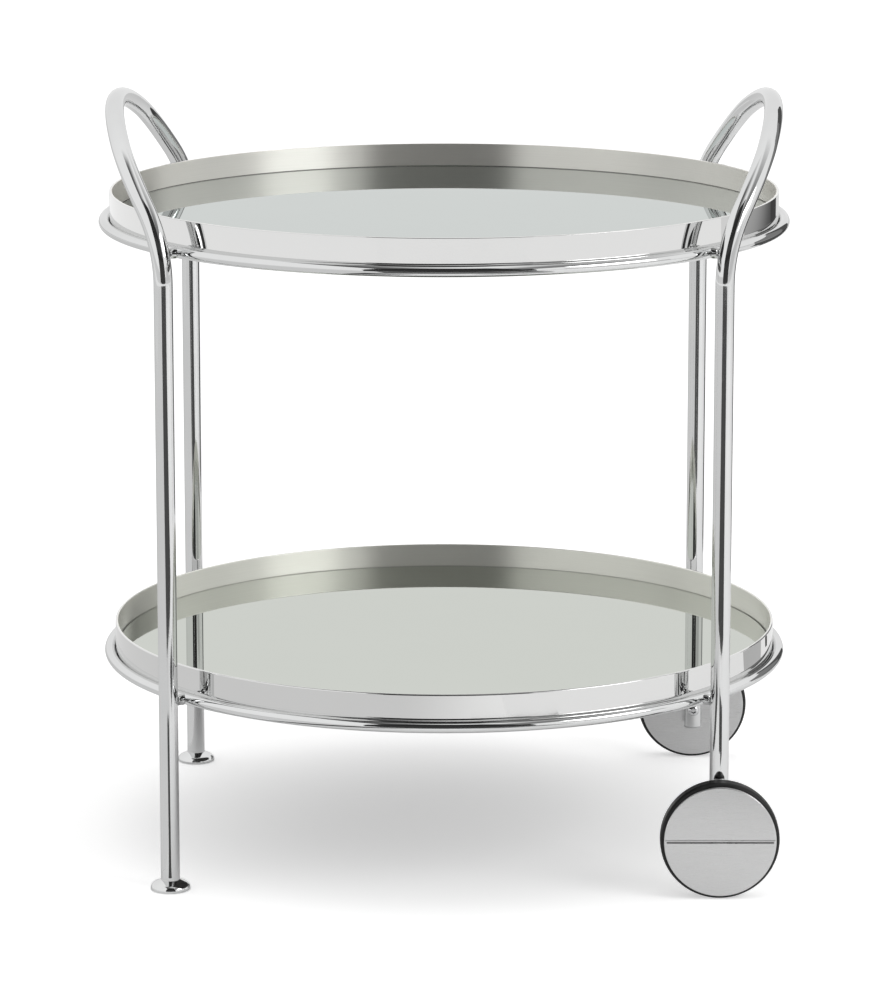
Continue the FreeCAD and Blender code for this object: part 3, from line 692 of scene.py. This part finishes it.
# Wheels. A moulded core turns on a brass bush and carries a black rubber tyre. Two spun aluminium discs with
# a satin finish cover its sides, and the outer one, the cap, has a low rib straight across it.
tyre_radius = 0.0625
tyre_bore = 0.052
tyre_shoulder = 0.006
tyre_start = 0.0155
tyre_end = 0.0375
disc_radius = 0.05875
disc_inner = 0.014
cap_end = 0.0393
cap_edge = 0.001
disc_edge = 0.0006
rib_width = 0.0036
rib_top = 0.0402
rib_reach = 0.05775
bolt_hole = 0.009
rib_round = 0.0005
slot_width = 0.0016
slot_reach = 0.0560
slot_over = 0.0004
rib_cuts = 4
wheel_steps = 128


def bar_across(reach, width, low, high, middle):
    """A straight bar across a wheel's middle, as a rib or as the cutter of a slot."""
    deselect()
    bpy.ops.mesh.primitive_cube_add(size=1, location=(0, middle, (low + high) / 2))
    bar = bpy.context.object
    bar.scale = (2 * reach, width, high - low)
    bpy.ops.object.transform_apply(location=True, scale=True)
    return bar


tyre_rubber, tree, shader = new_material("tyre")
shader.inputs["Specular IOR Level"].default_value = 0.22
rubber = worn(tree, gloss=0.38, haze_depth=0.25, patch_scale=60)
rubber.inputs["Marks"].default_value = 1500
tree.links.new(rubber.outputs["Roughness"], shader.inputs["Roughness"])
tone_ramp(tree, rubber.outputs["Tone"], shader, (0.010, 0.010, 0.010), (0.020, 0.020, 0.020))
bumped(tree, rubber.outputs["Height"], shader, strength=0.15, distance=0.0001)

wheel_disc, tree, shader = new_material("wheel_disc")
shader.inputs["Metallic"].default_value = 1
satin = tree.nodes.new("ShaderNodeGroup")
satin.node_tree = hairline
satin.inputs["Along"].default_value = (60, 1, 3800)
tree.links.new(value_between(tree, satin.outputs["Streak"], 0.25, 0.31), shader.inputs["Roughness"])
tone_ramp(tree, satin.outputs["Streak"], shader, (0.69, 0.69, 0.69), (0.735, 0.735, 0.735))
bumped(tree, satin.outputs["Fine"], shader, strength=0.015, distance=0.00002)

wheel_core = grainy(
    "wheel_core", roughness=0.5, scale=900, low=(0.045, 0.045, 0.046), high=(0.075, 0.075, 0.076),
    relief=0.2, depth=0.0001)

bush_brass, tree, shader = new_material("bush")
shader.inputs["Metallic"].default_value = 1
turning = worn(tree, gloss=0.2, haze_depth=0.15, patch_scale=200)
tree.links.new(turning.outputs["Roughness"], shader.inputs["Roughness"])
tone_ramp(tree, turning.outputs["Tone"], shader, (0.62, 0.47, 0.22), (0.78, 0.62, 0.34))

for end_name, end in ends.items():
    body = f"{end_name}_wheel"
    hub = (leg_x, end * leg_y, axle_height)
    outward_turn = (-end * pi / 2, 0, 0)
    tyre = turned(f"tyre_{end_name}", (
        (tyre_bore, tyre_start), (tyre_radius, tyre_start), (tyre_radius, tyre_end), (tyre_bore, tyre_end)),
        ((1, tyre_shoulder), (2, tyre_shoulder)), wheel_steps)
    put(tyre, hub, outward_turn)
    smooth(tyre)
    belongs(tyre, tyre_rubber, "tyre", body, f"{end_name}_tyre")

    disc = turned(f"inner_disc_{end_name}", (
        (bolt_hole, disc_inner), (disc_radius, disc_inner),
        (disc_radius, tyre_start), (bolt_hole, tyre_start)), ((1, disc_edge),), wheel_steps)
    put(disc, hub, outward_turn)
    smooth(disc)
    belongs(disc, wheel_disc, "wheel_disc", body, f"{end_name}_inner_disc")

    cap = turned(f"cap_{end_name}", (
        (0, tyre_end), (disc_radius, tyre_end), (disc_radius, cap_end), (0, cap_end)),
        ((2, cap_edge),), wheel_steps)
    cut_away(cap, bar_across(slot_reach, slot_width, tyre_end - slot_over, rib_top, -slot_width / 2))
    rib = bar_across(rib_reach, rib_width / 2, cap_end - slot_over, rib_top, rib_width / 4)
    bpy.ops.object.modifier_add(type="BEVEL")
    rib.modifiers[-1].width = rib_round
    rib.modifiers[-1].segments = rib_cuts
    rib.modifiers[-1].limit_method = "NONE"
    apply_last(rib)
    take(cap)
    rib.select_set(True)
    bpy.ops.object.join()
    put(cap, hub, outward_turn)
    smooth(cap)
    belongs(cap, wheel_disc, "wheel_disc", body, f"{end_name}_outer_cap")
    dress(wheel_core, f"{end_name}_wheel_core")
    dress(bush_brass, f"{end_name}_wheel_bush")

# Studio. A plain white floor under a white room with one broad soft light overhead and a soft key light at
# the right; the floor's glow for the camera is painted a little brighter away from the cart, as painted shade
# near it.
# Dark and grey flags are glowing sheets that only polished surfaces see: painted reflections that give the
# metal its lines.
floor_half = 30
near_lift = 0.41
far_lift = 0.51
lift_start = 0.08
lift_end = 0.50
mirrored_floor_lift = 0.12
room_strength = 0.72
deselect()
bpy.ops.mesh.primitive_plane_add(size=2 * floor_half, location=(0, 0, 0))
floor = bpy.context.object
floor.name = "floor"
floor_white, tree, shader = new_material("floor_white")
shader.inputs["Base Color"].default_value = (0.85, 0.85, 0.85, 1)
shader.inputs["Roughness"].default_value = 0.9
shader.inputs["Specular IOR Level"].default_value = 0
shader.inputs["Emission Color"].default_value = (1, 1, 1, 1)


def seen_mirrored(tree, rays):
    """1 for rays that metal mirrors or glass passes, else 0."""
    either = tree.nodes.new("ShaderNodeMath")
    either.operation = "ADD"
    either.use_clamp = True
    tree.links.new(rays.outputs["Is Glossy Ray"], either.inputs[0])
    tree.links.new(rays.outputs["Is Transmission Ray"], either.inputs[1])
    return either.outputs["Value"]


rays = tree.nodes.new("ShaderNodeLightPath")
mirrored_lift = value_between(tree, seen_mirrored(tree, rays), 0, mirrored_floor_lift)
# The floor's glow for the camera rises from near_lift close to the cart to far_lift away from it: painted
# shade close to the cart that narrows its shadow.
floor_place = tree.nodes.new("ShaderNodeTexCoord")
from_cart = tree.nodes.new("ShaderNodeVectorMath")
from_cart.operation = "LENGTH"
around_cart = tree.nodes.new("ShaderNodeMapRange")
around_cart.interpolation_type = "SMOOTHSTEP"
around_cart.inputs["From Min"].default_value = lift_start
around_cart.inputs["From Max"].default_value = lift_end
around_cart.inputs["To Min"].default_value = near_lift
around_cart.inputs["To Max"].default_value = far_lift
tree.links.new(floor_place.outputs["Object"], from_cart.inputs[0])
tree.links.new(from_cart.outputs["Value"], around_cart.inputs["Value"])
tree.links.new(
    value_between(tree, rays.outputs["Is Camera Ray"], mirrored_lift, around_cart.outputs["Result"]),
    shader.inputs["Emission Strength"])
floor.data.materials.append(floor_white)

room = bpy.data.worlds.new("white_room")
room.use_nodes = True
bpy.context.scene.world = room
tree = room.node_tree
background = tree.nodes["Background"]
background.inputs["Color"].default_value = (1, 1, 1, 1)
rays = tree.nodes.new("ShaderNodeLightPath")
mirrored_room = value_between(tree, seen_mirrored(tree, rays), room_strength, 1.0)
tree.links.new(
    value_between(tree, rays.outputs["Is Camera Ray"], mirrored_room, 1.0), background.inputs["Strength"])


def flag(name, corners, brightness=1):
    """A flat flag of four or more corners that only polished surfaces see: a glowing sheet, a painted
    reflection.
    """
    reflection_sheet = drawn(name, corners)
    bpy.ops.object.mode_set(mode="OBJECT")
    reflection_glow, reflection_glow_tree, reflection_glow_shader = new_material(name)
    reflection_glow_shader.inputs["Base Color"].default_value = (0, 0, 0, 1)
    reflection_glow_shader.inputs["Specular IOR Level"].default_value = 0
    reflection_glow_shader.inputs["Emission Color"].default_value = (1, 1, 1, 1)
    reflection_glow_shader.inputs["Emission Strength"].default_value = brightness
    reflection_sheet.data.materials.append(reflection_glow)
    reflection_sheet.visible_camera = False
    reflection_sheet.visible_diffuse = False
    reflection_sheet.visible_shadow = False
    reflection_sheet.visible_transmission = False
    reflection_sheet.visible_volume_scatter = False
    return reflection_glow_tree, reflection_glow_shader


def fading(tree, shader, dark, light, **reaches):
    """Lets a flag's painted reflection pass from dark to light between two places along each named axis."""
    place = tree.nodes.new("ShaderNodeTexCoord")
    axes = tree.nodes.new("ShaderNodeSeparateXYZ")
    tree.links.new(place.outputs["Object"], axes.inputs["Vector"])
    lighter = tree.nodes.new("ShaderNodeMath")
    lighter.operation = "MAXIMUM"
    for socket, (axis, reach) in zip(lighter.inputs, reaches.items()):
        rise = tree.nodes.new("ShaderNodeMapRange")
        rise.interpolation_type = "SMOOTHSTEP"
        rise.inputs["From Min"].default_value, rise.inputs["From Max"].default_value = reach
        rise.inputs["To Min"].default_value = dark
        rise.inputs["To Max"].default_value = light
        tree.links.new(axes.outputs[axis], rise.inputs["Value"])
        tree.links.new(rise.outputs["Result"], socket)
    for socket in lighter.inputs:
        if not socket.is_linked:
            socket.default_value = dark
    tree.links.new(lighter.outputs["Value"], shader.inputs["Emission Strength"])


def level(height, *places):
    """Corners of a flag that lies level."""
    return [(*place, height) for place in places]


def upright(start, end, low, high):
    """Corners of a flag that stands upright over a line on the floor."""
    return [(*start, low), (*end, low), (*end, high), (*start, high)]


# Painted reflections: the flags below glow at their given brightness, dark, grey or near white, and are seen
# only in reflections.
flag_lift = 0.003
front_line = -5.3
ceiling = 3.4
card_inner = 4.40
card_outer = 5.25
card_turns = [radians(turn) for turn in range(-165, 106, 15)]
inner_rim = [(card_inner * sin(turn), -card_inner * cos(turn)) for turn in card_turns]
outer_rim = [(card_outer * sin(turn), -card_outer * cos(turn)) for turn in reversed(card_turns)]
flag("floor_card", level(flag_lift / 2, *inner_rim, *outer_rim), brightness=0.98)
flag("front_floor_flag", level(
    flag_lift, (-0.45, -1.29), (0, -1.36), (0.45, -1.29), (0.84, -1.25), (2.0, -3.94),
    (0.8, -4.35), (0, -4.42), (-0.8, -4.35), (-1.62, -4.11)), brightness=0.08)
flag("low_flag", upright((-2.5, front_line), (2.95, front_line), 0, 1.62), brightness=0.05)
flag("upright_flag", upright((-2.6, front_line), (2.95, front_line), 1.62, 2.2), brightness=0.03)
flag("high_flag", upright((-2.6, front_line), (2.95, front_line), 2.2, 3.8), brightness=0.05)
flag("front_ceiling_flag", level(
    ceiling - 0.01, (-2.55, -5.29), (2.55, -5.29), (0.52, -1.4), (-0.52, -1.4)), brightness=0.03)
fading(*flag("left_ceiling_flag", level(
    ceiling, (-1.36, -5.2), (0.4, -5.2), (0.4, 1.2), (-1.36, 1.2))),
    dark=0.12, light=1, X=(-0.95, 0.4), Y=(-0.2, 1.2))
fading(*flag("right_ceiling_flag", level(
    ceiling, (0.4, -5.2), (2.9, -5.2), (2.9, 2.9), (0.4, 2.9))),
    dark=0.25, light=1, X=(1.5, 0.4), Y=(-2.0, 2.9))
fading(*flag("left_floor_flag", level(
    flag_lift, (-0.36, 3.5), (-2.6, 3.5), (-3.4, 2.7), (-3.4, -2.7), (-2.85, -3.3), (-1.23, -3.3),
    (-0.415, -1.30), (0.36, -1.30), (0.36, -1.02), (-0.36, -0.90))),
    dark=0.74, light=1, X=(-0.30, 0.40), Y=(3.5, 3.6))
flag("left_leg_flag", level(
    2 * flag_lift, (-0.30, -0.30), (-0.44, -0.98), (-0.14, -0.98), (-0.276, -0.30)), brightness=0.08)
flag("right_leg_flag", level(
    2 * flag_lift, (0.356, -0.75), (0.365, -0.816), (0.211, -0.816), (0.150, -1.13), (0.40, -1.067),
    (0.62, -0.957), (0.533, -0.75)), brightness=0.08)
flag("side_flag", upright((2.6, -0.75), (1.75, -2.35), 0.45, 1.05), brightness=0.65)
flag("rear_side_flag", level(
    flag_lift, (0.98, 0.36), (1.16, 0.46), (0.96, 0.79), (0.82, 0.58)), brightness=0.52)
flag("rear_edge_flag", level(
    flag_lift, (0.775, 0.70), (0.81, 0.755), (0.765, 0.785), (0.735, 0.73)), brightness=0.05)
right_end = (5.6, 3.25)
rear_end = (3.6, 5.55)
far_end = (2.64, 6.36)
fading(*flag("right_rear_flag", level(
    flag_lift, (1.37, 0.80), right_end, rear_end, (0.95, 1.15))),
    dark=0.10, light=0.42, X=(2.6, 4.1))
flag("rear_floor_flag", level(flag_lift, (0.95, 1.15), rear_end, far_end, (0.80, 1.28)), brightness=0.06)
flag("right_rear_upright_flag", (
    (*right_end, 0), (*rear_end, 0), (*rear_end, ceiling), (*right_end, 1.3)), brightness=0.25)
flag("rear_upright_flag", upright(rear_end, far_end, 0, ceiling), brightness=0.10)


def soft_light(name, place, aim, size, watts):
    """A rectangular soft light aimed at a point."""
    lamp = bpy.data.lights.new(name, "AREA")
    lamp.shape = "RECTANGLE"
    lamp.size, lamp.size_y = size
    lamp.energy = watts
    holder = bpy.data.objects.new(name, lamp)
    bpy.context.scene.collection.objects.link(holder)
    holder.location = place
    holder.rotation_euler = (Vector(aim) - Vector(place)).to_track_quat("-Z", "Y").to_euler()
    return holder


overhead = soft_light("overhead_light", place=(0, 0, 3.5), aim=(0, 0, 0), size=(3, 3), watts=24)
overhead.visible_glossy = False
soft_light("key_light", place=(3.58, -2.19, 2.8), aim=(0, 0, 0.60), size=(2.3, 1.6), watts=46)

# Camera. A long lens a little above the upper tray, straight on to the cart's front.
lens_pixels = 4744
image_height = 1000
looking_down = 11.88
camera_data = bpy.data.cameras.new("camera")
camera_data.sensor_width = 36
camera_data.lens = lens_pixels / image_height * camera_data.sensor_width
camera_data.clip_end = 200
camera = bpy.data.objects.new("camera", camera_data)
bpy.context.scene.collection.objects.link(camera)
camera.location = (0.0020, -5.069, 1.4303)
camera.rotation_euler = (radians(90 - looking_down), 0, 0)
bpy.context.scene.camera = camera
bpy.context.scene.view_settings.view_transform = "Standard"
